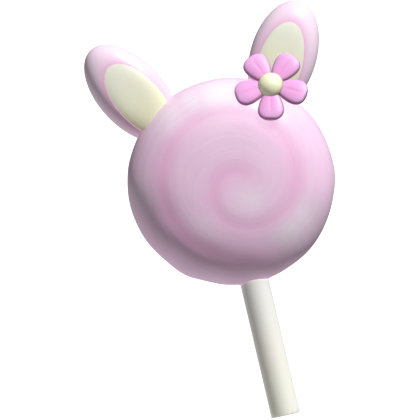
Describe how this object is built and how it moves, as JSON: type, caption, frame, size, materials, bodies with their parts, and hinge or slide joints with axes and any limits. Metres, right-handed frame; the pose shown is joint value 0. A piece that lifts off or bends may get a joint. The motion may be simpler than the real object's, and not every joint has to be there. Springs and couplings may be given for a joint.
{
  "type": "swirl lollipop with bunny ears",
  "caption": "Puffy round swirl lollipop lying face up: pastel pink head with a coiled seam, oval bunny ears with cream inlays, a small sugar flower and a thick round paper stick.",
  "frame": {"origin": "middle of the small flat on the back of the head, which the lollipop rests on", "axes": "+Z out of the shown face of the head, +Y from the stick towards the ears, +X to the right when the face is seen with the ears up"},
  "size_m": [0.0644, 0.1089, 0.0253],
  "materials": {
    "candy_pink": "glossy boiled sugar, pale pink with a deeper pink coiled seam",
    "ear_pink": "glossy boiled sugar, pale pink",
    "inlay_cream": "glossy boiled sugar, cream",
    "petal_pink": "moulded sugar, orchid pink, soft gloss",
    "bead_cream": "glossy sugar pearl, cream",
    "stick_paper": "rolled paper, ivory white, smooth and matte"
  },
  "bodies": {
    "root": {"head": "candy_pink", "stick": "stick_paper", "ear_left": "ear_pink", "ear_right": "ear_pink", "ear_inlay_left": "inlay_cream", "ear_inlay_right": "inlay_cream", "petal_1": "petal_pink", "petal_2": "petal_pink", "petal_3": "petal_pink", "petal_4": "petal_pink", "petal_5": "petal_pink", "flower_bead": "bead_cream"}
  },
  "joints": []
}
